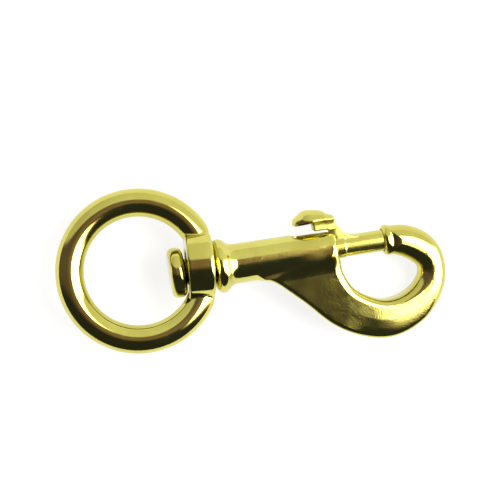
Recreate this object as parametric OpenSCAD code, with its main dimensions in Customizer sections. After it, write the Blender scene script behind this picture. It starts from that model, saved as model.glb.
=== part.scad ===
// Swivel-eye bolt snap in cast and polished brass.
// The bolt axis runs along +X, the thumb lug points to +Y, and the snap lies flat with +Z up.
// The origin is the centre of the eye, on the bolt axis, when the eye is square on its pin.

/* [Swivel eye] */
// Inside diameter of the eye
eye_inner_d = 23.5; // [20:0.1:30]
// Diameter of the eye's round stock
eye_stock_d = 6.2; // [5:0.1:7.5]
// Length of the eye's boss along the swivel axis
boss_l = 5.75; // [4.5:0.05:7]
// Diameter of the boss, which is round about the swivel axis
boss_d = 14.6; // [12.5:0.1:16]
// Depth of the flat on the boss below the eye's outer circle
boss_cut = 1.85; // [1.4:0.05:3.2]
// Turn of the eye about the swivel axis, as the snap lies
eye_turn = -8; // [-40:1:40]
// Droop of the eye's far side in its play on the pin, as the snap lies
eye_droop = 1; // [0:0.5:5]
// Lean of the eye to the thumb lug's side in its play on the pin, as the snap lies
eye_lean = 4; // [0:0.5:5]
// Shift of the eye to the thumb lug's side in its play on the pin, as the snap lies
eye_shift = 0.8; // [0:0.05:1]

/* [Swivel pin] */
// Diameter of the pin's shank
pin_d = 5.6; // [4.4:0.1:6.4]
// Diameter of the pin's button head
head_d = 11; // [9:0.1:12.5]
// Thickness of the button head
head_t = 3.3; // [3:0.1:4.6]
// Rounding of the button head's edges
head_edge = 1.4; // [0.6:0.1:1.4]
// Depth to which the shank is pressed into the barrel
pin_grip = 4.6; // [3.5:0.1:6]
// Least clearance between the shank and the boss
pin_clear = 0.12; // [0.08:0.01:0.4]
// Least gap between the button head and the boss
head_gap = 0.15; // [0.1:0.05:0.8]
// Least gap between the boss and the barrel's flange
flange_gap = 0.15; // [0.1:0.05:1.2]

/* [Barrel] */
// Length of the barrel from the back of its flange to its front face
barrel_l = 26.7; // [24:0.1:32]
// Diameter of the barrel behind the blade
barrel_d = 8.9; // [8.2:0.1:10.6]
// Diameter of the barrel at its front face
barrel_front_d = 8.3; // [7.8:0.1:10.2]
// Rounding of the barrel's front edge
barrel_edge = 0.9; // [0.3:0.1:1.3]
// Diameter of the flange that the eye swivels against
flange_d = 11.8; // [11:0.1:13.4]
// Width of the flange's round rim
flange_l = 2.3; // [1.2:0.1:2.6]
// Length of the hollow neck between the flange and the barrel
neck_l = 2.5; // [1:0.1:4]

/* [Hook] */
// Gap between the barrel's front face and the mouth of the tip
gate_l = 10.8; // [9:0.1:15]
// Diameter of the hook's tip
tip_d = 6.4; // [6:0.1:7.6]
// Width of the hook where the tip curls over
curl_w = 7.2; // [6:0.1:8.4]
// Diameter of the rolled rim round the mouth of the tip
rim_d = 6.6; // [6.4:0.1:8]
// Depth of the throat below the bolt axis
throat_depth = 12.95; // [11:0.05:17]
// Reach of the throat past the mouth of the tip
throat_reach = 7.15; // [6:0.05:10]
// Width of the hook at its outer side
side_w = 6.45; // [5.2:0.05:8]
// Width of the hook under the throat
belly_w = 8.45; // [6.5:0.05:10.5]
// Width of the blade where it leaves the hook
blade_w = 9.3; // [7:0.1:10.8]
// Distance from the front face back to where the blade leaves the barrel
blade_root = 16.2; // [12:0.1:18]
// Thickness of the hook at its outer side
side_t = 6.2; // [5:0.1:7.4]
// Thickness of the hook under the throat
belly_t = 6.6; // [5.4:0.1:8]
// Thickness of the blade beside the barrel
blade_t = 7.2; // [6:0.1:8]
// Rounding of the blade's edges
blade_edge = 2.2; // [1.2:0.1:2.6]

/* [Bolt] */
// Diameter of the bolt between the barrel and the tip
bolt_d = 4.75; // [4:0.05:5]
// Diameter of the bolt's guided length
guide_d = 5.05; // [5:0.05:5.4]
// Length of the bolt held in the barrel
guide_l = 7.6; // [5:0.1:9]
// Distance that the guided length shows in front of the barrel
guide_show = 2.2; // [0.8:0.1:3]
// Depth of the bolt's nose in the tip
nose_l = 1.2; // [0.6:0.1:2]
// Clearance all round between the bolt and its bore
bolt_clear = 0.1; // [0.06:0.01:0.2]
// Travel of the bolt
bolt_travel = 8.4; // [6:0.1:8.8]

/* [Thumb lug] */
// Thickness of the lug's neck in the slot
neck_w = 3.6; // [2.6:0.1:3.8]
// Clearance on each side of the neck in the slot
slot_clear = 0.2; // [0.1:0.05:0.4]
// Set-back of the neck behind the barrel's front face
neck_back = 1; // [0.4:0.1:2]
// Overhang of the post behind the neck
post_over = 3.3; // [1.5:0.1:4.4]
// Height of the post above the barrel
post_h = 1.9; // [1.2:0.1:2.6]
// Clearance between the post and the barrel
post_clear = 0.15; // [0.1:0.05:0.5]
// Length of the thumb pad
pad_l = 9.3; // [8.4:0.1:12]
// Width of the thumb pad
pad_w = 7.6; // [5:0.1:9]
// Thickness of the thumb pad
pad_t = 3; // [2.4:0.1:4.4]
// Overhang of the thumb pad behind the post
pad_over = 4.4; // [3:0.1:5.4]

/* [Spring] */
// Diameter of the spring wire
wire_d = 0.55; // [0.4:0.05:0.6]
// Clearance all round between the spring and the bore
spring_clear = 0.2; // [0.1:0.05:0.4]
// Number of coils, with one closed coil at each end
coils = 9; // [7:1:9]

/* [Hidden] */
brass = [0.79, 0.66, 0.28];
spring_steel = [0.62, 0.63, 0.65];
$fn = 64;
cut = 1;
arc_n = 8;
corner_n = 5;
loft_n = 6;

// Places along the bolt axis
eye_ro = eye_inner_d / 2 + eye_stock_d;
eye_mid = (eye_inner_d + eye_stock_d) / 2;
boss_face = eye_ro - boss_cut;
boss_back = boss_face - boss_l;
eye_tip = acos(cos(eye_droop) * cos(eye_lean));
head_face = boss_back - head_gap - head_d / 2 * sin(eye_tip);
flange_x = boss_face + flange_gap + flange_d / 2 * sin(eye_tip);
pin_end = flange_x + pin_grip;
front_x = flange_x + barrel_l;
mouth_x = front_x + gate_l;
guide_x = front_x - guide_l;
nose_x = mouth_x + nose_l;

// The boss has a bore wide enough for the eye to tip and shift on the pin
boss_mid = boss_face - boss_l / 2;
boss_bore_d = pin_d / cos(eye_tip) + boss_l * tan(eye_tip) + 2 * (eye_shift + pin_clear);

// Bores and slot
bore_d = guide_d + 2 * bolt_clear;
socket_d = bolt_d + 2 * bolt_clear;
socket_end_gap = 0.3;
slot_w = neck_w + 2 * slot_clear;
neck_x = front_x - neck_back;
slot_end_gap = 0.2;
slot_x = neck_x - bolt_travel - slot_end_gap;

// Thumb lug, clear of the barrel over the whole travel
function barrel_r(x) =
    let (share = (x - flange_x - flange_l - neck_l) / (barrel_l - flange_l - neck_l))
    (barrel_d + share * (barrel_front_d - barrel_d)) / 2;
post_x = neck_x - post_over;
post_y = max(barrel_r(post_x - bolt_travel), barrel_r(front_x)) + post_clear;
pad_x = post_x - pad_over;
pad_y = post_y + post_h;
ramp_x = pad_x + 0.93 * pad_l;
foot_x = front_x + 2.2 * guide_show;

// Points of an arc about [x, y] from angle a to angle b
function arc(x, y, r, a, b) = [for (k = [0:arc_n])
    let (t = a + (b - a) * k / arc_n)
    [x + r * cos(t), y + r * sin(t)]];

// Points of a quarter-ellipse hollow that falls from radius r + h at x to radius r at x + l
function hollow(x, l, r, h) = [for (k = [0:arc_n])
    let (t = 90 * k / arc_n)
    [r + h - h * sin(t), x + l - l * cos(t)]];

// Points of a curve from a to c that is drawn towards b
function bow(a, b, c) = [for (k = [0:arc_n])
    let (t = k / arc_n)
    (1 - t) * (1 - t) * a + 2 * t * (1 - t) * b + t * t * c];

// Point at t between b and c on a smooth curve through the stations a, b, c and d
function between(a, b, c, d, t) =
    b + t / 2 * (c - a) + t * t / 2 * (2 * a - 5 * b + 4 * c - d) + t * t * t / 2 * (3 * b - 3 * c + d - a);

// Smooth curve through a list of stations
function smooth(s, last) = concat(
    [for (i = [0:last - 1], k = [0:loft_n - 1])
        between(s[max(i - 1, 0)], s[i], s[i + 1], s[min(i + 2, last)], k / loft_n)],
    [s[last]]);

// Oblong of width w and thickness t with corners of radius r
function oblong(w, t, r) = [for (q = [0:3], k = [0:corner_n - 1])
    let (
        round_r = min(r, w / 2, t / 2),
        a = 90 * (q + (k + 0.5) / corner_n),
        side = q == 0 || q == 3 ? 1 : -1,
        face = q < 2 ? 1 : -1
    )
    [side * (w / 2 - round_r) + round_r * cos(a), face * (t / 2 - round_r) + round_r * sin(a)]];

// Closed skin over rings that have the same number of points
module skin(rings) {
    n = len(rings[0]);
    last = len(rings) - 1;
    sides = [for (i = [0:last - 1], k = [0:n - 1])
        [i * n + k, (i + 1) * n + k, (i + 1) * n + (k + 1) % n, i * n + (k + 1) % n]];
    ends = [[for (k = [0:n - 1]) k], [for (k = [n - 1:-1:0]) last * n + k]];
    polyhedron([for (ring = rings, p = ring) p], concat(sides, ends), convexity = 6);
}

// Solid of revolution about the bolt axis, from points [radius, x]
module turned(points) {
    rotate([0, 90, 0]) rotate_extrude() polygon(points);
}

// Round bar or hole along the bolt axis from x = a to x = b
module bored(d, a, b) {
    translate([a, 0, 0]) rotate([0, 90, 0]) cylinder(d = d, h = b - a);
}

// Ribs of the hook from the tip round the throat to the barrel.
// Each rib is its inner point, the angle it runs outwards at, its width, its thickness and its edge radius.
throat_top = -tip_d / 2;
throat_h = throat_depth + throat_top;
tip_start = 0.8;
tip_sink = 0.2;
tip_end_d = tip_d - 2 * tip_sink;
bend_w = (tip_d + curl_w) / 2;
heel_w = (3 * side_w + belly_w) / 4;
toe_w = (side_w + belly_w) / 2;
throat_end = mouth_x + throat_reach;
web_step = 2;
web_w = blade_root - web_step;
web_edge = 0.48 * blade_t;
waist_w = (belly_w + blade_w) / 2;
waist_t = (belly_t + blade_t) / 2;
fan_w = (blade_w + web_w - web_step) / 2;
hook_ribs = [
    [mouth_x + tip_start, throat_top + tip_sink, 90, tip_end_d, tip_end_d, tip_d / 2],
    [mouth_x + 0.42 * throat_reach, throat_top - 0.06 * throat_h, 82, bend_w, tip_d, tip_d / 2],
    [mouth_x + 0.85 * throat_reach, throat_top - 0.26 * throat_h, 50, curl_w, tip_d, tip_d / 2],
    [throat_end, throat_top - 0.42 * throat_h, 12, side_w, side_t, side_w / 2],
    [mouth_x + 0.84 * throat_reach, throat_top - 0.71 * throat_h, -31, heel_w, side_t, side_w / 2],
    [mouth_x + 0.42 * throat_reach, throat_top - 0.94 * throat_h, -61, toe_w, belly_t, blade_edge],
    [mouth_x - 0.12 * gate_l, -throat_depth, -90, belly_w, belly_t, blade_edge],
    [mouth_x - 0.49 * gate_l, throat_top - 0.84 * throat_h, -115, waist_w, belly_t, blade_edge],
    [front_x + 0.24 * gate_l, throat_top - 0.6 * throat_h, -135, blade_w, waist_t, blade_edge],
    [front_x + 0.09 * gate_l, throat_top - 0.28 * throat_h, -154, fan_w, blade_t, blade_edge],
    [front_x + 0.02 * gate_l, throat_top, -169, web_w, blade_t, (blade_edge + web_edge) / 2],
    [front_x - barrel_edge, 0, -atan2(barrel_d / 2 - tip_sink, -blade_root), blade_root, blade_t, web_edge]
];

function rib_ring(r) = [for (p = oblong(r[3], r[4], r[5]))
    let (out = r[3] / 2 + p[0])
    [r[0] + out * cos(r[2]), r[1] + out * sin(r[2]), p[1]]];

module hook() {
    ribs = smooth(hook_ribs, len(hook_ribs) - 1);
    skin([for (r = ribs) rib_ring(r)]);
}

// Barrel with the flange's round rim, the hollow neck and the rounded front edge
module barrel() {
    rim = flange_l / 2;
    neck_h = flange_d / 2 - rim - barrel_d / 2;
    turned(concat(
        [[0, flange_x]],
        arc(flange_d / 2 - rim, flange_x + rim, rim, -90, 90),
        hollow(flange_x + flange_l, neck_l, barrel_d / 2, neck_h),
        arc(barrel_front_d / 2 - barrel_edge, front_x - barrel_edge, barrel_edge, 0, 90),
        [[0, front_x]]
    ));
}

// Rolled rim round the mouth of the tip
module tip_rim() {
    roll = 1.2;
    turned(concat(
        [[0, mouth_x]],
        arc(rim_d / 2 - roll, mouth_x + roll, roll, -60, 90),
        [[tip_d / 2 - 0.3, mouth_x + 3 * roll], [0, mouth_x + 3 * roll]]
    ));
}

module slot() {
    end_x = slot_x + slot_w / 2;
    translate([end_x, 0, 0]) rotate([-90, 0, 0]) cylinder(d = slot_w, h = barrel_d);
    translate([end_x, 0, -slot_w / 2]) cube([front_x - end_x + cut, barrel_d, slot_w]);
}

module hook_body() {
    color(brass) difference() {
        union() {
            barrel();
            hook();
            tip_rim();
        }
        bored(pin_d, flange_x - cut, pin_end);
        bored(bore_d, pin_end - cut, front_x + cut);
        bored(socket_d, mouth_x - cut, nose_x + socket_end_gap);
        slot();
    }
}

// Turned rod: guided length, step, plain length and rounded nose
module bolt_rod() {
    bevel = 0.4;
    nose_r = 0.9;
    step_x = front_x + guide_show;
    turned(concat(
        [[0, guide_x], [guide_d / 2 - bevel, guide_x], [guide_d / 2, guide_x + bevel], [guide_d / 2, step_x]],
        [[bolt_d / 2, step_x + (guide_d - bolt_d) / 2]],
        arc(bolt_d / 2 - nose_r, nose_x - nose_r, nose_r, 0, 90),
        [[0, nose_x]]
    ));
}

// Post of the thumb lug: round-backed neck in the slot, overhang above the barrel and ramp down to the rod
module lug_post() {
    neck_mid = neck_x + neck_w / 2;
    top_y = pad_y + pad_t / 4;
    ramp = bow([ramp_x, top_y], [ramp_x + 0.25 * (foot_x - ramp_x), 0.44 * top_y], [foot_x, 0.45 * bolt_d]);
    translate([neck_mid, 0, 0]) rotate([-90, 0, 0]) cylinder(d = neck_w, h = post_y + post_h / 2);
    translate([0, 0, -neck_w / 2]) linear_extrude(neck_w)
        polygon(concat(
            [[neck_mid, 0], [neck_mid, post_y], [post_x, post_y], [post_x, top_y]],
            ramp,
            [[foot_x, 0]]
        ));
}

// Thumb pad: a curled leaf, blunt at the back and running out into the ramp.
// Each row is the share of its length, then of its thickness at the top and the underside, then of its width.
pad_form = [
    [0, 0.2, -0.06, 0.2],
    [0.06, 0.48, -0.1, 0.48],
    [0.2, 0.8, -0.06, 0.8],
    [0.42, 0.96, 0, 1],
    [0.65, 0.88, 0.04, 0.95],
    [0.85, 0.56, 0, 0.76],
    [1, 0.14, 0, 0.52]
];

function pad_ring(f) = [for (p = oblong(f[3] * pad_w, (f[1] - f[2]) * pad_t, pad_t))
    [pad_x + f[0] * pad_l, pad_y + (f[1] + f[2]) / 2 * pad_t + p[1], -p[0]]];

module thumb_pad() {
    skin([for (f = smooth(pad_form, len(pad_form) - 1)) pad_ring(f)]);
}

module bolt() {
    color(brass) union() {
        bolt_rod();
        lug_post();
        thumb_pad();
    }
}

// Compression spring between the pin's end and the bolt, with a closed coil at each end
module bolt_spring() {
    sides = 8;
    steps = 14;
    seat_gap = 0.05;
    coil_r = bore_d / 2 - spring_clear - wire_d / 2;
    start_x = pin_end + seat_gap + wire_d / 2;
    run = guide_x - pin_end - 2 * seat_gap - wire_d;
    closed = 1.05 * wire_d;
    open = (run - 2 * closed) / (coils - 2);
    function coil_x(t) =
        start_x + closed * (min(t, 1) + max(0, t - coils + 1)) + open * max(0, min(t - 1, coils - 2));
    color(spring_steel) skin([for (k = [0:coils * steps])
        let (t = k / steps)
        [for (s = [0:sides - 1])
            let (r = coil_r + wire_d / 2 * cos(360 * s / sides))
            [coil_x(t) - wire_d / 2 * sin(360 * s / sides), r * cos(360 * t), r * sin(360 * t)]]]);
}

// Eye, tipped and shifted about the middle of its boss, which is left long in front for the flat
module swivel_eye() {
    color(brass) translate([boss_mid, eye_shift, 0]) rotate([eye_turn, -eye_droop, -eye_lean])
    translate([-boss_mid, 0, 0]) difference() {
        union() {
            rotate([0, 0, 180]) rotate_extrude() translate([eye_mid, 0]) circle(d = eye_stock_d);
            bored(boss_d, boss_back, boss_face + boss_cut);
        }
        translate([boss_face, -eye_ro, -boss_d]) cube([2 * boss_cut, 2 * eye_ro, 2 * boss_d]);
        bored(boss_bore_d, boss_back - cut, boss_face + cut);
    }
}

// Headed pin that carries the eye and closes the back of the barrel
module swivel_pin() {
    bevel = 0.4;
    color(brass) turned(concat(
        [[0, head_face - head_t]],
        arc(head_d / 2 - head_edge, head_face - head_t + head_edge, head_edge, -90, 0),
        arc(head_d / 2 - head_edge, head_face - head_edge, head_edge, 0, 90),
        [[pin_d / 2, head_face], [pin_d / 2, pin_end - bevel], [pin_d / 2 - bevel, pin_end], [0, pin_end]]
    ));
}

hook_body();
bolt();
bolt_spring();
swivel_eye();
swivel_pin();
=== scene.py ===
import math

import bpy
import numpy as np
from mathutils import Matrix, Vector


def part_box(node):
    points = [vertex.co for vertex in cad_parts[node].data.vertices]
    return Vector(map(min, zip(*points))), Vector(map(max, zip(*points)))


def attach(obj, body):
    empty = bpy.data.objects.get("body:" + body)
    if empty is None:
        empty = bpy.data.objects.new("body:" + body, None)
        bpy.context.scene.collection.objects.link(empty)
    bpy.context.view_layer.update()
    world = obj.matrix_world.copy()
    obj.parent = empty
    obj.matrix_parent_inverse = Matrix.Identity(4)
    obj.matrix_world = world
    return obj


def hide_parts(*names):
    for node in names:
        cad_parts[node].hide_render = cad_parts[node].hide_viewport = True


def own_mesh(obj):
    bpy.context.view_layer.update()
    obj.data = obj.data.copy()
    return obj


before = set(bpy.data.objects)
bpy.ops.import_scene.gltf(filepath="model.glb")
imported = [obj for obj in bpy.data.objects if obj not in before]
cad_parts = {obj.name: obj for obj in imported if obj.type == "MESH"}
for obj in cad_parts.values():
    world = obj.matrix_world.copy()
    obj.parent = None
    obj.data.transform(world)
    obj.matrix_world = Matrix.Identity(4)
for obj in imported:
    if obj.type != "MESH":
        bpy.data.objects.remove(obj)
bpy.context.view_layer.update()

# Hook body
# One brass casting: barrel, flange, blade, hook and tip, run together with soft fillets.
# It is bored for the bolt, slotted along the top for the thumb lug, then tumbled and polished.
MM = 0.001
flange_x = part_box("hook_body")[0][0] / MM
pin_end = flange_x + 4.6
front_x = flange_x + 26.7
mouth_x = front_x + 10.8
nose_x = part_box("bolt")[1][0] / MM

barrel_d = 8.9
barrel_front_d = 8.3
barrel_edge = 0.9
flange_d = 11.8
flange_rim = 1.1
neck_fillet = 2.4
blade_fillet = 2.2
bore_d = 5.25
pin_d = 5.6
socket_d = 4.95
slot_w = 3.85
bolt_travel = 8.4
travel_spare = 0.2
neck_setback = 1
slot_end_x = front_x - neck_setback - bolt_travel - travel_spare + slot_w / 2
cut_past_front = 1
bore_edge = 0.2
slot_edge = 0.35

tip_d = 6.4
curl_w = 7.2
tip_rim_d = 6.6
tip_rim_roll = 0.8
tip_rim_fillet = 0.9
socket_edge = 0.3
socket_room = 0.3
throat_depth = 12.95
throat_reach = 7.15
side_w = 6.45
belly_w = 8.45
blade_w = 9.3
blade_root = 16.2
side_t = 6.2
blade_t = 7.2
thin_from_x = mouth_x - 5
thin_to_x = mouth_x + 11
side_edge = 2.95
throat_edge = 1.8
outer_edge = 0.9
pillow = 0.65
pillow_reach = 1.9
pillow_slant = 0.35
round_slant = 0.7
throat_mid_y = -8


def through(stations, count):
    """Smooth curve through the stations: the cubic spline over their straight-line spacing,
    with no bend at either end."""
    p = np.asarray(stations, float)
    gap = np.linalg.norm(np.diff(p, axis=0), axis=1)
    knots = np.concatenate([[0], np.cumsum(gap)])
    weights = np.diag(np.concatenate([[1], 2 * (gap[:-1] + gap[1:]), [1]]))
    weights[np.arange(1, len(gap)), np.arange(len(gap) - 1)] = gap[:-1]
    weights[np.arange(1, len(gap)), np.arange(2, len(gap) + 1)] = gap[1:]
    slope = np.diff(p, axis=0) / gap[:, None]
    bend = np.zeros_like(p)
    bend[1:-1] = 6 * np.diff(slope, axis=0)
    bend = np.linalg.solve(weights, bend)
    t = np.linspace(0, knots[-1], count)
    i = np.minimum(np.searchsorted(knots, t, side="right") - 1, len(gap) - 1)
    h = gap[i][:, None]
    f = (t - knots[i])[:, None] / h
    ends = p[i] * (1 - f) + p[i + 1] * f
    return ends + h**2 / 6 * (bend[i] * ((1 - f) ** 3 - 1 + f) + bend[i + 1] * (f**3 - f))


def loop_distance(x, y, loop):
    """Distance from points to a closed outline, less than zero inside: that to the nearest of its
    straight steps, with its sign from how many steps a line to the right of the point crosses."""
    a = loop
    b = np.roll(loop, -1, axis=0)
    step = b - a
    length2 = np.maximum((step**2).sum(1), 1e-12)
    out = np.empty(x.size)
    points = np.stack([x.ravel(), y.ravel()], 1)
    for rows in np.array_split(np.arange(x.size), max(1, x.size // 4000)):
        p = points[rows][:, None]
        d = p - a
        t = np.clip((d * step).sum(2) / length2, 0, 1)
        near = ((d - t[..., None] * step) ** 2).sum(2).min(1)
        rising = (a[:, 1] > p[..., 1]) != (b[:, 1] > p[..., 1])
        rise = np.where(step[:, 1] == 0, 1e-12, step[:, 1])
        at = a[:, 0] + (p[..., 1] - a[:, 1]) * step[:, 0] / rise
        inside = (rising & (p[..., 0] < at)).sum(1) % 2
        out[rows] = np.sqrt(near) * (1 - 2 * inside)
    return out.reshape(x.shape)


def outline(loop, margin, pitch):
    """Distance to a closed outline as a function of x and y: worked out once on a square net,
    then read off it with a cubic through the four nearest values each way."""
    low = loop.min(0) - margin
    counts = ((loop.max(0) + margin - low) / pitch).astype(int) + 4
    gx, gy = np.meshgrid(*(low[k] + pitch * np.arange(counts[k]) for k in (0, 1)), indexing="ij")
    net = loop_distance(gx, gy, loop)

    def shares(v, count):
        i = np.clip(np.floor(v).astype(int), 1, count - 3)
        f = np.clip(v - i, 0, 1)
        return i, (
            f * (f * (2 - f) - 1) / 2,
            (f * f * (3 * f - 5) + 2) / 2,
            f * (f * (4 - 3 * f) + 1) / 2,
            f * f * (f - 1) / 2,
        )

    def distance(x, y):
        i, wx = shares((x - low[0]) / pitch, counts[0])
        j, wy = shares((y - low[1]) / pitch, counts[1])
        return sum(wx[a] * wy[b] * net[i + a - 1, j + b - 1] for a in range(4) for b in range(4))

    return distance


def blend_in(a, b, fillet):
    """Union of two solids given as distances, with a fillet where they are close:
    the lesser of the two, less a soft step."""
    h = np.maximum(fillet - np.abs(a - b), 0) / fillet
    return np.minimum(a, b) - h * h * fillet / 4


def cut_by(a, b, fillet):
    """Solid a with solid b taken out, the new edge rounded: the union's rule with both signs turned."""
    return -blend_in(-a, b, fillet)


def rounded(edge, *sides):
    """Solid inside all of its sides, with edges rounded to a radius: the sides drawn in by the radius,
    the length of what lies over them, less the radius."""
    over = sum(np.maximum(side + edge, 0) ** 2 for side in sides)
    inner = np.minimum(np.maximum.reduce(np.broadcast_arrays(*sides)) + edge, 0)
    return np.sqrt(over) + inner - edge


def smoothstep(low, high, v):
    """Rises from 0 at low to 1 at high with level ends."""
    t = np.clip((v - low) / (high - low), 0, 1)
    return t * t * (3 - 2 * t)


def disc(x, rho, centre_x, radius, rim):
    """Distance to a round-rimmed disc about the bolt axis: that to the flat disc inside the rim's
    centre circle, less the rim's radius."""
    return np.hypot(np.maximum(rho - radius + rim, 0), x - centre_x) - rim


def value_and_slope(field, points):
    """The field at the points, and its slope from a small step each way along each axis."""
    reach = 0.01
    slope = np.empty_like(points)
    for axis in range(3):
        shift = reach * np.eye(3)[axis]
        slope[:, axis] = (field(*(points + shift).T) - field(*(points - shift).T)) / (2 * reach)
    return field(*points.T), slope


def skin(field, low, high, step):
    """Mesh of the surface where the field is zero: one point in each cell that it crosses, at the mean of
    the crossings, and one quad for each crossed edge. The points are then drawn along the field's slope
    until they lie on the surface, and the slope is their normal."""
    axes = [np.arange(l, h + step, step) for l, h in zip(low, high)]
    x, y, z = np.meshgrid(*axes, indexing="ij")
    f = field(x, y, z)
    cells = tuple(n - 1 for n in f.shape)
    total = np.zeros(cells + (3,))
    crossings = np.zeros(cells)
    grid = np.stack([x, y, z], -1)
    faces = []
    crossed_edges = []
    for axis in range(3):
        near = [slice(None)] * 3
        far = [slice(None)] * 3
        near[axis] = slice(None, -1)
        far[axis] = slice(1, None)
        near = tuple(near)
        far = tuple(far)
        crossed = (f[near] < 0) != (f[far] < 0)
        share = np.where(crossed, f[near] / np.where(crossed, f[near] - f[far], 1), 0)
        place = grid[near] + share[..., None] * (grid[far] - grid[near])
        place = np.where(crossed[..., None], place, 0)
        b, c = [k for k in range(3) if k != axis]
        for db in (0, 1):
            for dc in (0, 1):
                part = [slice(None)] * 3
                part[b] = slice(db, f.shape[b] - 1 + db)
                part[c] = slice(dc, f.shape[c] - 1 + dc)
                total += place[tuple(part)]
                crossings += crossed[tuple(part)]
        crossed_edges.append((axis, b, c, crossed, f[near] < 0))
    used = crossings > 0
    index = np.full(cells, -1)
    index[used] = np.arange(used.sum())
    points = total[used] / crossings[used][:, None]
    for axis, b, c, crossed, inside in crossed_edges:
        at = np.argwhere(crossed)
        pair = at[:, [b, c]]
        at = at[((pair > 0) & (pair < np.array(f.shape)[[b, c]] - 1)).all(1)]
        corners = []
        for db, dc in ((-1, -1), (0, -1), (0, 0), (-1, 0)):
            cell = at.copy()
            cell[:, b] += db
            cell[:, c] += dc
            corners.append(index[tuple(cell.T)])
        quads = np.stack(corners, 1)
        turn = inside[tuple(at.T)] == (axis == 1)
        quads[turn] = quads[turn][:, ::-1]
        faces.append(quads)
    for _ in range(4):
        value, slope = value_and_slope(field, points)
        move = slope * (value / np.maximum((slope**2).sum(1), 1e-6))[:, None]
        points -= np.clip(move, -step / 2, step / 2)
    value, slope = value_and_slope(field, points)
    normals = slope / np.linalg.norm(slope, axis=1)[:, None]
    return points, np.concatenate(faces).tolist(), normals


def add_piece(name, points, faces, normals=None):
    """Object at the origin with these points, in millimetres, and faces, shaded smooth."""
    mesh = bpy.data.meshes.new(name)
    mesh.from_pydata((np.asarray(points) * MM).tolist(), [], faces)
    mesh.shade_smooth()
    if normals is not None:
        mesh.normals_split_custom_set_from_vertices(normals.tolist())
    piece = bpy.data.objects.new(name, mesh)
    bpy.context.scene.collection.objects.link(piece)
    return piece


# Ribs of the hook from the tip round the throat to the barrel: inner point, outward angle and width.
throat_top = -tip_d / 2
throat_h = throat_depth + throat_top
gate_l = mouth_x - front_x
web_w = blade_root - 2
ribs = np.array(
    [
        (mouth_x + 0.8, throat_top + 0.2, 90, tip_d - 0.4),
        (mouth_x + 0.42 * throat_reach, throat_top - 0.06 * throat_h, 82, (tip_d + curl_w) / 2),
        (mouth_x + 0.85 * throat_reach, throat_top - 0.26 * throat_h, 50, curl_w),
        (mouth_x + throat_reach, throat_top - 0.42 * throat_h, 12, side_w),
        (mouth_x + 0.84 * throat_reach, throat_top - 0.71 * throat_h, -31, (3 * side_w + belly_w) / 4),
        (mouth_x + 0.42 * throat_reach, throat_top - 0.94 * throat_h, -61, (side_w + belly_w) / 2),
        (mouth_x - 0.12 * gate_l, -throat_depth, -90, belly_w),
        (mouth_x - 0.49 * gate_l, throat_top - 0.84 * throat_h, -115, (belly_w + blade_w) / 2),
        (front_x + 0.24 * gate_l, throat_top - 0.6 * throat_h, -135, blade_w),
        (front_x + 0.09 * gate_l, throat_top - 0.28 * throat_h, -154, (blade_w + web_w) / 2 - 1),
        (front_x + 0.02 * gate_l, throat_top, -169, web_w),
        (front_x - barrel_edge, 0, -165.3, blade_root),
    ]
)
# A degree of the angle counts as 0.14 mm in the ribs' spacing.
rib_scale = np.array([1, 1, 0.14, 1])
rib_run = through(ribs * rib_scale, 300) / rib_scale
rib_angle = np.radians(rib_run[:, 2])
inner_rail = rib_run[:, :2]
outer_rail = inner_rail + rib_run[:, 3:] * np.stack([np.cos(rib_angle), np.sin(rib_angle)], 1)
hook_edge = outline(np.concatenate([outer_rail, inner_rail[::-1]]), margin=3.0, pitch=0.1)
throat = outline(inner_rail, margin=14.0, pitch=0.2)


def body_field(x, y, z):
    """Barrel and flange turned about the bolt axis, blended with the hook's outline raised to a rounded
    thickness, less the bores, the socket in the tip and the slot. The hook thins from the blade to its
    side, its faces fall away towards the rim past the blade, and its edges grow rounder towards the side."""
    rho = np.hypot(y, z)
    along = np.clip((x - flange_x) / (front_x - flange_x), 0, 1)
    side = rho - (barrel_d + along * (barrel_front_d - barrel_d)) / 2
    barrel = rounded(barrel_edge, side, x - front_x, flange_x - x)
    flange = disc(x, rho, flange_x + flange_rim, flange_d / 2, flange_rim)
    body = blend_in(barrel, flange, neck_fillet)
    half = (blade_t + smoothstep(thin_from_x, thin_to_x, x) * (side_t - blade_t)) / 2
    fullness = smoothstep(front_x + 2, mouth_x + 1, x - pillow_slant * (y - throat_mid_y))
    roundness = smoothstep(mouth_x - 1, mouth_x + 9, x + round_slant * (y - throat_mid_y))
    outward = smoothstep(1, 6, throat(x, y))
    edge = throat_edge + outward * (outer_edge - throat_edge)
    edge = edge + roundness * (side_edge - edge)
    rim = hook_edge(x, y)
    crown = pillow * fullness * (0.3 + 0.7 * outward) * np.exp(np.minimum(rim, 0) / pillow_reach)
    hook = rounded(edge, rim, np.abs(z) - half + crown)
    body = blend_in(body, hook, blade_fillet)
    tip_rim = disc(x, rho, mouth_x + tip_rim_roll, tip_rim_d / 2, tip_rim_roll)
    body = blend_in(body, tip_rim, tip_rim_fillet)
    past_front = x - front_x - cut_past_front
    body = cut_by(body, np.maximum.reduce([rho - bore_d / 2, pin_end - x, past_front]), bore_edge)
    body = cut_by(body, np.maximum(rho - pin_d / 2, x - pin_end), bore_edge)
    socket = np.maximum.reduce([rho - socket_d / 2, x - nose_x - socket_room, mouth_x - 2 - x])
    body = cut_by(body, socket, socket_edge)
    slot = np.hypot(np.minimum(x - slot_end_x, 0), z) - slot_w / 2
    return cut_by(body, np.maximum.reduce([slot, -y, past_front]), slot_edge)


hook_low, hook_high = (np.array(corner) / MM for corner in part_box("hook_body"))
hook_body = add_piece("hook_body_cast", *skin(body_field, hook_low - 0.6, hook_high + 0.6, step=0.25))


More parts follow.
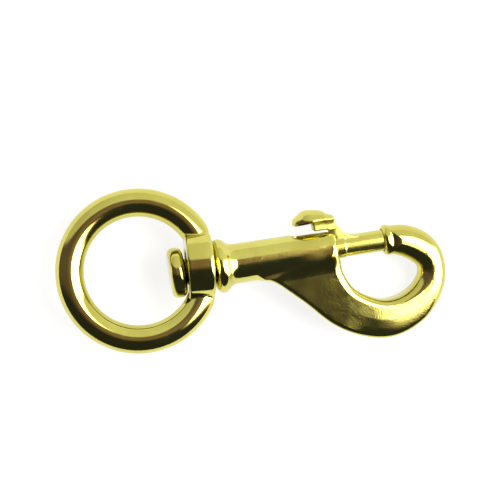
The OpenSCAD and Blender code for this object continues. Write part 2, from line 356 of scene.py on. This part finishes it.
class Shade:
    """A shader node's output. Sums and products of these add Math nodes, and node() adds any other node."""

    def __init__(self, tree, socket):
        self.tree = tree
        self.socket = socket

    def node(self, kind, settings=None, sockets=None, out=0):
        """Adds a node of that type, with its settings first, then the values or links of its sockets."""
        made = self.tree.nodes.new(kind)
        for key, value in (settings or {}).items():
            setattr(made, key, value)
        for key, value in (sockets or {}).items():
            if isinstance(value, Shade):
                self.tree.links.new(value.socket, made.inputs[key])
            else:
                made.inputs[key].default_value = value
        return Shade(self.tree, made.outputs[out])

    def math(self, operation, a, b):
        """Adds a Math node of that operation."""
        return self.node("ShaderNodeMath", {"operation": operation}, {0: a, 1: b})

    def __add__(self, other):
        return self.math("ADD", self, other)

    def __radd__(self, other):
        return self.math("ADD", other, self)

    def __sub__(self, other):
        return self.math("SUBTRACT", self, other)

    def __rsub__(self, other):
        return self.math("SUBTRACT", other, self)

    def __mul__(self, other):
        return self.math("MULTIPLY", self, other)

    def __rmul__(self, other):
        return self.math("MULTIPLY", other, self)

    def step(self, low, high):
        """Rises smoothly from 0 at low to 1 at high."""
        settings = {"interpolation_type": "SMOOTHSTEP"}
        return self.node("ShaderNodeMapRange", settings, {"Value": self, "From Min": low, "From Max": high})

    def mix(self, low, high):
        """Colour low where this is 0, and colour high where it is 1. Sockets 6 and 7 and output 2 are
        the Mix node's colour ones."""
        settings = {"data_type": "RGBA"}
        return self.node("ShaderNodeMix", settings, {"Factor": self, 6: low, 7: high}, out=2)


def blank_material(name):
    """A new material's Principled node, and a Shade on its Object coordinates."""
    material = bpy.data.materials.new(name)
    material.use_nodes = True
    tree = material.node_tree
    principled = next(n for n in tree.nodes if n.type == "BSDF_PRINCIPLED")
    place = tree.nodes.new("ShaderNodeTexCoord")
    return material, principled, Shade(tree, place.outputs["Object"])


def noise(place, per_metre, detail):
    """Soft noise of that many lumps to the metre, about 0.5."""
    return place.node("ShaderNodeTexNoise", None, {"Vector": place, "Scale": per_metre, "Detail": detail})


BRASS_DEEP = (0.58, 0.52, 0.115, 1)
BRASS_PALE = (0.66, 0.62, 0.155, 1)
GRAIN_HEIGHT = 0.12 * MM


def brass(name, grain, roughness, added=None):
    """Polished cast brass: a slow drift between two golds, a fine grain raised in bump, cloudy patches
    of less polish, and more roughness where a function of the place adds some."""
    material, principled, place = blank_material(name)
    drift = noise(place, 110, 3)
    principled.inputs["Metallic"].default_value = 1
    links = material.node_tree.links
    links.new(drift.step(0.3, 0.7).mix(BRASS_DEEP, BRASS_PALE).socket, principled.inputs["Base Color"])
    cloud = noise(place, 420, 4).step(0.35, 0.7)
    dull = roughness + 0.04 * cloud
    if added is not None:
        dull = dull + added(place)
    links.new(dull.socket, principled.inputs["Roughness"])
    height = 0.12 * noise(place, 900, 2) + 0.5 * noise(place, 3400, 2)
    raised = {"Strength": grain, "Distance": GRAIN_HEIGHT, "Height": height}
    bump = place.node("ShaderNodeBump", None, raised)
    links.new(bump.socket, principled.inputs["Normal"])
    return material


hook_body.data.materials.append(brass("body_brass", grain=0.28, roughness=0.08))
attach(hook_body, "hook")
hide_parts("hook_body")

# Bolt
# A turned brass rod with a cast thumb lug: a post that stands up through the slot, and a domed pad.
# The pad is polished, the rod is left as turned, and the post's sides are left as cast.
guide_x = front_x - 7.6
step_x = front_x + 2.2
guide_d = 5.05
rod_d = 4.75
guide_edge = 0.25
nose_edge = 0.9
step_fillet = 0.15
neck_x = front_x - neck_setback
neck_w = 3.6
overhang_fillet = 0.6
post_x = neck_x - 3.3
post_y = 4.38
post_heel = 0.5
post_corner = 0.35
post_draft = 0.06
draft_from_y = 2
back_top_y = post_y - 0.3
pad_x = post_x - 4.4
pad_l = 9.3
pad_y = 6.374
pad_half_w = 3.7
pad_least_t = 0.3
pad_corner = 0.45
pad_fillet = 1.2
lug_fillet = 0.5
foot_x = front_x + 5.14


def arc_points(x, y, r, start, end, count=12):
    """Points of a circle about (x, y), from one angle to another, in degrees."""
    t = np.radians(np.linspace(start, end, count))
    return np.stack([x + r * np.cos(t), y + r * np.sin(t)], 1)


# The post seen from the side: neck in the slot, overhang, pad seat, then the ramp down to the rod.
ramp_top = (pad_x + 0.94 * pad_l, pad_y + 0.75)
ramp = through([ramp_top, (front_x + 1.3, 4.85), (front_x + 2.6, 3.15), (foot_x, 2.15)], 30)
post_loop = np.concatenate(
    [
        [(neck_x, 0), (neck_x, post_y - overhang_fillet)],
        arc_points(neck_x - overhang_fillet, post_y - overhang_fillet, overhang_fillet, 0, 90),
        arc_points(post_x + post_heel, post_y + post_heel, post_heel, -90, -180),
        [(post_x, pad_y + 0.8)],
        ramp,
        [(foot_x, 0)],
    ]
)
post_edge = outline(post_loop, margin=2.0, pitch=0.06)

# The pad along its length: share of the length, underside and crown above the seat, and half-width.
pad_rows = through(
    [
        (0.0, -0.18, 0.6, 0.75),
        (0.06, -0.3, 1.44, 1.8),
        (0.2, -0.18, 2.4, 3.0),
        (0.42, 0.0, 2.88, pad_half_w),
        (0.62, 0.12, 2.6, pad_half_w - 0.15),
        (0.8, 0.0, 1.85, 3.0),
        (0.92, 0.0, 1.1, 2.3),
        (1.0, 0.0, 0.55, 1.75),
    ],
    120,
)


def rod(x, rho, start, end, radius, edge):
    """Round rod about the bolt axis between two places, with rounded ends."""
    return rounded(edge, rho - radius, start - x, x - end)


def bolt_field(x, y, z):
    """Rod turned about the bolt axis, the post's side outline raised to its thickness with a slight draft
    and a round back below its overhang, and the pad: a half-ellipse section over a flat underside,
    whose height and width follow its rows."""
    rho = np.hypot(y, z)
    guide = rod(x, rho, guide_x, step_x, guide_d / 2, guide_edge)
    shank = rod(x, rho, guide_x + 1, nose_x, rod_d / 2, nose_edge)
    bolt = blend_in(guide, shank, step_fillet)
    draft = post_draft * np.maximum(y - draft_from_y, 0)
    back = np.hypot(np.minimum(x - neck_x - neck_w / 2, 0), z) - neck_w / 2
    back = np.minimum(back, back_top_y - y)
    post = rounded(post_corner, post_edge(x, y), np.abs(z) - neck_w / 2 + draft, back)
    share = (x - pad_x) / pad_l
    under, crown, half = (np.interp(share, pad_rows[:, 0], pad_rows[:, k]) for k in (1, 2, 3))
    height = np.maximum(crown - under, pad_least_t)
    up = (y - pad_y - under) / height
    dome = (np.hypot(z / half, np.maximum(up, 0)) - 1) * np.minimum(half, height)
    ends = np.maximum(-share, share - 1) * pad_l
    pad = rounded(pad_corner, dome, pad_y + under - y, ends)
    lug = blend_in(post, pad, pad_fillet)
    return blend_in(bolt, lug, lug_fillet)


bolt_low, bolt_high = (np.array(corner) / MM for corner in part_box("bolt"))
bolt = add_piece("bolt_and_lug", *skin(bolt_field, bolt_low - 0.5, bolt_high + 0.5, step=0.15))
TURNED_DULLNESS = 0.12
CAST_DULLNESS = 0.2


def below_pad(place):
    """Roughness added below the pad: most on the post's sides, less on the rod."""
    height = place.node("ShaderNodeSeparateXYZ", None, {"Vector": place}, out=1)
    on_post = height.step(2.3 * MM, 3.2 * MM)
    on_pad = height.step((pad_y - 0.4) * MM, pad_y * MM)
    return (TURNED_DULLNESS + CAST_DULLNESS * on_post) * (1 - on_pad)


bolt.data.materials.append(brass("bolt_brass", grain=0.14, roughness=0.1, added=below_pad))
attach(bolt, "bolt")
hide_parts("bolt")

# Spring
# A compression spring of drawn steel wire, which lies in the barrel's bore behind the bolt.
# It bears on the pin's end and on the bolt, with one closed coil at each end.
wire_d = 0.55
coil_clearance = 0.2
coil_r = bore_d / 2 - coil_clearance - wire_d / 2
coils = 9
spring_gap = 0.05


def tube(rings, ends):
    """Points and faces of a tube: quads from each ring to the next, and a fan from the first and last ring
    to an end point each."""
    count, around = rings.shape[:2]
    i, j = np.meshgrid(np.arange(count - 1), np.arange(around), indexing="ij")
    k = (j + 1) % around
    row = i * around
    quads = np.stack([row + j, row + k, row + around + k, row + around + j], -1).reshape(-1, 4)
    j = j[0]
    k = k[0]
    last = (count - 1) * around
    first_end = np.full(around, count * around)
    fans = [np.stack([k, j, first_end], 1), np.stack([last + j, last + k, first_end + 1], 1)]
    points = np.concatenate([rings.reshape(-1, 3), ends])
    return points, quads.tolist() + np.concatenate(fans).tolist()


def swept(path, side, up, radius, around):
    """Round wire along a path: each point of the path plus a circle in the plane of its side and
    up directions."""
    t = np.linspace(0, 2 * np.pi, around, endpoint=False)[:, None]
    rings = path[:, None] + radius * (np.cos(t) * side[:, None] + np.sin(t) * up[:, None])
    return tube(rings, path[[0, -1]])


turns = np.linspace(0, coils, coils * 40 + 1)
spring_start = pin_end + spring_gap + wire_d / 2
spring_run = guide_x - pin_end - 2 * spring_gap - wire_d
closed_pitch = 1.05 * wire_d
open_pitch = (spring_run - 2 * closed_pitch) / (coils - 2)
coil_x = spring_start + closed_pitch * (np.minimum(turns, 1) + np.maximum(turns - coils + 1, 0))
coil_x = coil_x + open_pitch * np.clip(turns - 1, 0, coils - 2)
spin = 2 * np.pi * turns
radial = np.stack([np.zeros_like(spin), np.cos(spin), np.sin(spin)], 1)
along_axis = np.zeros_like(radial)
along_axis[:, 0] = 1
coil_path = coil_r * radial + coil_x[:, None] * along_axis
spring = add_piece("coil_spring", *swept(coil_path, radial, along_axis, wire_d / 2, 12))
STEEL_GREY = (0.56, 0.56, 0.58, 1)
STEEL_STRAW = (0.62, 0.58, 0.5, 1)


def spring_steel(name):
    """Drawn spring wire: grey steel of uneven polish, with a slight straw tint in patches."""
    material, principled, place = blank_material(name)
    links = material.node_tree.links
    principled.inputs["Metallic"].default_value = 1
    tint = noise(place, 600, 2).step(0.35, 0.7).mix(STEEL_GREY, STEEL_STRAW)
    links.new(tint.socket, principled.inputs["Base Color"])
    dull = 0.24 + 0.16 * noise(place, 5000, 1)
    links.new(dull.socket, principled.inputs["Roughness"])
    return material


spring.data.materials.append(spring_steel("spring_wire"))
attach(spring, "hook")
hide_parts("bolt_spring")
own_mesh(spring)

# Swivel eye
# A brass ring cast in one with its boss, which is drilled for the pin and faced flat towards the barrel.
# It is loose on the pin, so it lies turned a little, shifted and leaning to the lug's side, and drooped.
eye_inner_d = 23.5
eye_stock_d = 6.2
eye_mid = (eye_inner_d + eye_stock_d) / 2
faced_off = 1.85
boss_face = eye_mid + eye_stock_d / 2 - faced_off
boss_l = 5.75
boss_mid = boss_face - boss_l / 2
boss_d = 14.6
boss_edge = 0.5
boss_fillet = 0.3
face_spare = 1
face_edge = 0.9
boss_bore_d = 7.87
boss_bore_edge = 0.3
eye_shift = 0.8
EYE_TURN = math.radians(-8)
EYE_DROOP = math.radians(1)
EYE_LEAN = math.radians(4)
eye_turn = Matrix.Rotation(EYE_TURN, 3, "X")
eye_droop = Matrix.Rotation(-EYE_DROOP, 3, "Y")
eye_lean = Matrix.Rotation(-EYE_LEAN, 3, "Z")
eye_axes = np.array(eye_lean @ eye_droop @ eye_turn)


def eye_field(x, y, z):
    """Ring of round stock, blended with a round drum boss, faced flat and drilled, all in the eye's own
    axes, which turn, droop and lean about the boss."""
    place = (x - boss_mid, y - eye_shift, z)
    ex, ey, ez = (sum(a * p for a, p in zip(axis, place)) for axis in eye_axes.T)
    ex = ex + boss_mid
    ring = np.hypot(np.hypot(ex, ey) - eye_mid, ez) - eye_stock_d / 2
    off_axis = np.hypot(ey, ez)
    drum_ends = np.abs(ex - boss_mid - face_spare / 2) - (boss_l + face_spare) / 2
    boss = rounded(boss_edge, off_axis - boss_d / 2, drum_ends)
    eye = blend_in(ring, boss, boss_fillet)
    eye = cut_by(eye, boss_face - ex, face_edge)
    bore = np.maximum(off_axis - boss_bore_d / 2, np.abs(ex - boss_mid) - boss_l)
    return cut_by(eye, bore, boss_bore_edge)


eye_low, eye_high = (np.array(corner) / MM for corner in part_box("swivel_eye"))
eye = add_piece("swivel_eye_cast", *skin(eye_field, eye_low - 0.5, eye_high + 0.5, step=0.25))
eye.data.materials.append(brass("eye_brass", grain=0.05, roughness=0.08))
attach(eye, "eye")
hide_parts("swivel_eye")

# Swivel pin
# A turned brass pin with a button head, put through the eye and pressed into the back of the barrel.
# Only the head shows, inside the ring, and a ring of its shank between the boss and the flange.
head_d = 11.0
head_t = 3.3
head_edge = 1.35
under_head_r = 0.3
pin_chamfer = 0.4
head_back_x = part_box("swivel_pin")[0][0] / MM
head_face_x = head_back_x + head_t


def turned(profile, around):
    """Solid of revolution about the bolt axis: the profile's radius swung round, its places along the axis
    kept. The profile starts and ends on the axis."""
    t = np.linspace(0, 2 * np.pi, around, endpoint=False)
    x, r = profile[1:-1, :, None].transpose(1, 0, 2)
    rings = np.stack(np.broadcast_arrays(x, r * np.cos(t), -r * np.sin(t)), -1)
    return tube(rings, [(profile[0, 0], 0, 0), (profile[-1, 0], 0, 0)])


pin_profile = np.concatenate(
    [
        [(head_back_x, 0), (head_back_x, 1.5), (head_back_x, 3.0)],
        arc_points(head_back_x + head_edge, head_d / 2 - head_edge, head_edge, 180, 90),
        arc_points(head_face_x - head_edge, head_d / 2 - head_edge, head_edge, 90, 0),
        [(head_face_x, pin_d / 2 + under_head_r + 0.1)],
        arc_points(head_face_x + under_head_r, pin_d / 2 + under_head_r, under_head_r, 180, 270, 5),
        [(pin_end - pin_chamfer, pin_d / 2), (pin_end, pin_d / 2 - pin_chamfer), (pin_end, 0)],
    ]
)
pin = add_piece("swivel_pin_turned", *turned(pin_profile, 96))
pin.data.materials.append(brass("pin_brass", grain=0.05, roughness=0.08))
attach(pin, "hook")
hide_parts("swivel_pin")

# Table
# A plain white table top, on which the snap rests by the eye's boss and the end of the hook.
# It glows evenly where it is looked at or mirrored, and takes the snap's soft shadow.
TABLE_SLOPE = 0.086
TABLE_Z = -8.75
TABLE_HALF = 900.0
TABLE_PAINT = (0.25, 0.25, 0.25, 1)
TABLE_GLOW = 0.84
table_points = [
    (sx * TABLE_HALF, sy * TABLE_HALF, TABLE_Z + TABLE_SLOPE * sx * TABLE_HALF)
    for sx, sy in ((-1, -1), (1, -1), (1, 1), (-1, 1))
]
table = add_piece("table_top", table_points, [(0, 1, 2, 3)])
table_white = bpy.data.materials.new("table_white")
table_white.use_nodes = True
table_tree = table_white.node_tree
table_tree.nodes.clear()
rays = table_tree.nodes.new("ShaderNodeLightPath")
ray_kinds = ("Is Camera Ray", "Is Glossy Ray", "Is Transmission Ray")
camera_ray, glossy_ray, through_ray = (Shade(table_tree, rays.outputs[kind]) for kind in ray_kinds)
seen = camera_ray + glossy_ray + through_ray
paint = seen.node("ShaderNodeBsdfDiffuse", None, {"Color": TABLE_PAINT})
glow = seen.node("ShaderNodeEmission", None, {"Color": (1, 1, 1, 1), "Strength": TABLE_GLOW * seen})
table_look = seen.node("ShaderNodeAddShader", None, {0: paint, 1: glow})
table_out = table_tree.nodes.new("ShaderNodeOutputMaterial")
table_tree.links.new(table_look.socket, table_out.inputs["Surface"])
table.data.materials.append(table_white)

# Camera and light
# The camera looks down on the snap, a little from behind the eye and from the thumb lug's side.
# The room is painted by direction along the picture's own axes: a pale window above, brown walls that
# darken downwards, and a strong lamp with a brown edge to the right.
CAMERA_REACH = 300.0
LOOK_AT = Vector((24.71, 2.44, 0))
FROM_EYE_SIDE = math.radians(7)
FROM_LUG_SIDE = math.radians(6.5)
ROLL = math.radians(8.22)
FIELD = 109.3
SENSOR = 36
to_camera = Vector((-math.sin(FROM_EYE_SIDE), math.sin(FROM_LUG_SIDE), 1))
to_camera.z = math.sqrt(1 - to_camera.x**2 - to_camera.y**2)
image_up = Vector((math.sin(ROLL), math.cos(ROLL), 0))
image_up = (image_up - image_up.dot(to_camera) * to_camera).normalized()
image_right = image_up.cross(to_camera)
camera_data = bpy.data.cameras.new("camera")
camera_data.sensor_width = SENSOR
camera_data.lens = SENSOR * CAMERA_REACH / FIELD
camera_data.clip_start = 0.01
camera = bpy.data.objects.new("camera", camera_data)
axes = Matrix((image_right, image_up, to_camera)).transposed().to_4x4()
camera.matrix_world = Matrix.Translation((LOOK_AT + CAMERA_REACH * to_camera) * MM) @ axes
bpy.context.scene.collection.objects.link(camera)
bpy.context.scene.camera = camera

WALL_SHADE = (0.14, 0.1, 0.12, 1)
WALL_BROWN = (0.32, 0.215, 0.2, 1)
WALL_FOOT = (0.028, 0.031, 0.042, 1)
LAMP_EDGE = (5, 2.7, 2.3, 1)
LAMP_WHITE = (9, 9, 8.8, 1)
WINDOW_DIM = (0.7, 0.7, 0.65, 1)
WINDOW_BRIGHT = (1, 1, 0.9, 1)
world = bpy.data.worlds.new("room")
bpy.context.scene.world = world
world.use_nodes = True
room = world.node_tree
sky = room.nodes["Background"]
direction = Shade(room, room.nodes.new("ShaderNodeTexCoord").outputs["Generated"])


def towards(vector):
    """How far the looked-at direction points along a vector: their dot product."""
    sockets = {0: direction, 1: tuple(vector)}
    return direction.node("ShaderNodeVectorMath", {"operation": "DOT_PRODUCT"}, sockets, out=1)


rightward = towards(image_right)
upward = towards(image_up)
walls = rightward.step(-0.3, 0.35).mix(WALL_SHADE, WALL_BROWN)
walls = upward.step(-0.28, 0.02).mix(WALL_FOOT, walls)
lamp = (rightward + 0.25 * upward).step(0.335, 0.46) * upward.step(-0.45, -0.15)
lamp_colour = lamp.step(0, 0.35).mix(LAMP_EDGE, LAMP_WHITE)
lit_walls = lamp.mix(walls, lamp_colour)
window = rightward.step(-0.8, 0.5).mix(WINDOW_DIM, WINDOW_BRIGHT)
light = upward.step(0.33, 0.44).mix(lit_walls, window)
room.links.new(light.socket, sky.inputs["Color"])
bpy.context.scene.view_settings.view_transform = "Standard"
